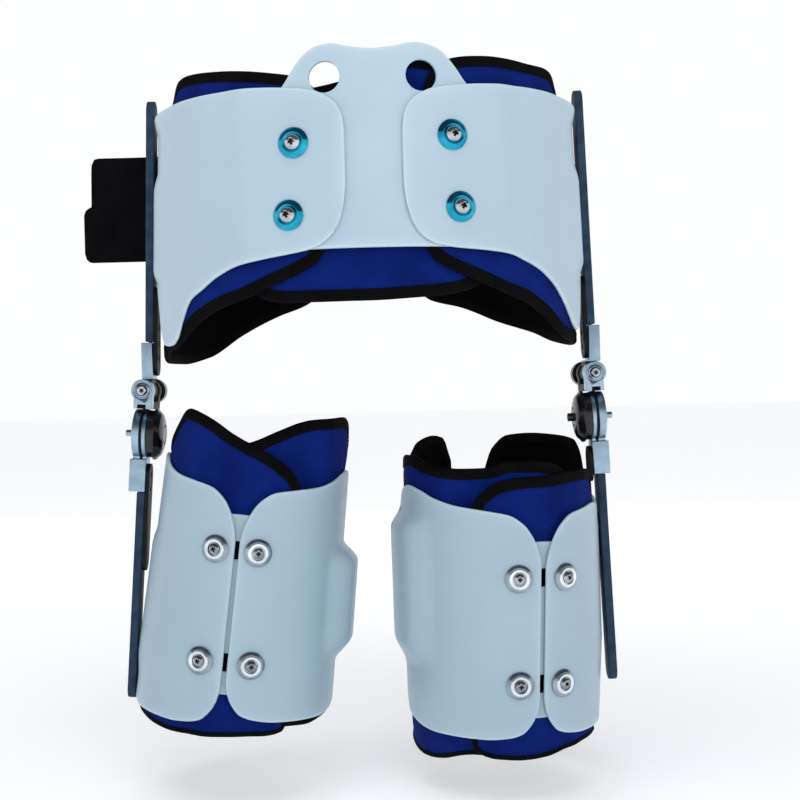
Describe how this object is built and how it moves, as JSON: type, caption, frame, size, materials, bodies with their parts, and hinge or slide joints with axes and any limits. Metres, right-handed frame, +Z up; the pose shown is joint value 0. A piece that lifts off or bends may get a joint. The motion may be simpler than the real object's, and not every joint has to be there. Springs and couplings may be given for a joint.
{
  "type": "hip brace",
  "caption": "Hip brace: padded plastic pelvic girdle and thigh cuffs joined by metal side bars with abduction and flexion hinges.",
  "frame": {"origin": "middle of the space for the pelvis inside the girdle, where the wearer's hips hold the brace", "axes": "+Z up along the wearer's body, +Y to the wearer's front, +X to the wearer's right"},
  "size_m": [0.443, 0.2474, 0.541],
  "materials": {
    "shell_plastic": "satin",
    "backing_plastic": "satin",
    "padding_fabric": "knit laminate",
    "washer_anodised": "anodised gloss",
    "screw_steel": "polished",
    "belt_webbing": "woven",
    "strip_black": "satin black",
    "bar_black": "satin dark blue grey",
    "hinge_metal": "satin",
    "tongue_black": "satin black",
    "cover_black": "satin black",
    "pivot_metal": "satin dark",
    "bolt_steel": "satin",
    "snap_steel": "polished"
  },
  "bodies": {
    "girdle": {"back_pad": "padding_fabric", "back_plate": "shell_plastic", "front_belt": "belt_webbing", "hip_bracket_left": "hinge_metal", "hip_bracket_right": "hinge_metal", "screw_left_lower": "screw_steel", "screw_left_upper": "screw_steel", "screw_right_lower": "screw_steel", "screw_right_upper": "screw_steel", "side_pad_left": "padding_fabric", "side_pad_right": "padding_fabric", "upright_left": "bar_black", "upright_right": "bar_black", "upright_strip_left": "strip_black", "upright_strip_right": "strip_black", "washer_left_lower": "washer_anodised", "washer_left_upper": "washer_anodised", "washer_right_lower": "washer_anodised", "washer_right_upper": "washer_anodised", "wing_left": "shell_plastic", "wing_right": "shell_plastic"},
    "link_left": {"clevis_left": "hinge_metal", "pivot_bolt_left": "pivot_metal", "tongue_left": "tongue_black"},
    "link_right": {"clevis_right": "hinge_metal", "pivot_bolt_right": "pivot_metal", "tongue_right": "tongue_black"},
    "thigh_left": {"backing_left": "backing_plastic", "hinge_bolt_left": "bolt_steel", "hinge_cover_left": "cover_black", "lower_arm_left": "hinge_metal", "pad_left_inner": "padding_fabric", "pad_left_outer": "padding_fabric", "shell_left_inner": "shell_plastic", "shell_left_outer": "shell_plastic", "snap_left_inner_lower": "snap_steel", "snap_left_inner_upper": "snap_steel", "snap_left_outer_lower": "snap_steel", "snap_left_outer_upper": "snap_steel", "thigh_bar_left": "bar_black", "thigh_strip_left": "strip_black"},
    "thigh_right": {"backing_right": "backing_plastic", "hinge_bolt_right": "bolt_steel", "hinge_cover_right": "cover_black", "lower_arm_right": "hinge_metal", "pad_right_inner": "padding_fabric", "pad_right_outer": "padding_fabric", "shell_right_inner": "shell_plastic", "shell_right_outer": "shell_plastic", "snap_right_inner_lower": "snap_steel", "snap_right_inner_upper": "snap_steel", "snap_right_outer_lower": "snap_steel", "snap_right_outer_upper": "snap_steel", "thigh_bar_right": "bar_black", "thigh_strip_right": "strip_black"}
  },
  "joints": [
    {"name": "abduction_left", "type": "hinge", "parent": "girdle", "child": "link_left", "pos_m": [-0.1845, 0, -0.1525], "axis": [0, 1, 0], "range_deg": [-4.2, 25.8]},
    {"name": "flexion_left", "type": "hinge", "parent": "link_left", "child": "thigh_left", "pos_m": [-0.18709, 0, -0.18771], "axis": [0.9973, 0, -0.0732], "range_deg": [-15, 90]},
    {"name": "abduction_right", "type": "hinge", "parent": "girdle", "child": "link_right", "pos_m": [0.18, 0, -0.1474], "axis": [0, -1, 0], "range_deg": [-2, 28]},
    {"name": "flexion_right", "type": "hinge", "parent": "link_right", "child": "thigh_right", "pos_m": [0.18123, 0, -0.18268], "axis": [0.9994, 0, 0.0349], "range_deg": [-15, 90]}
  ]
}
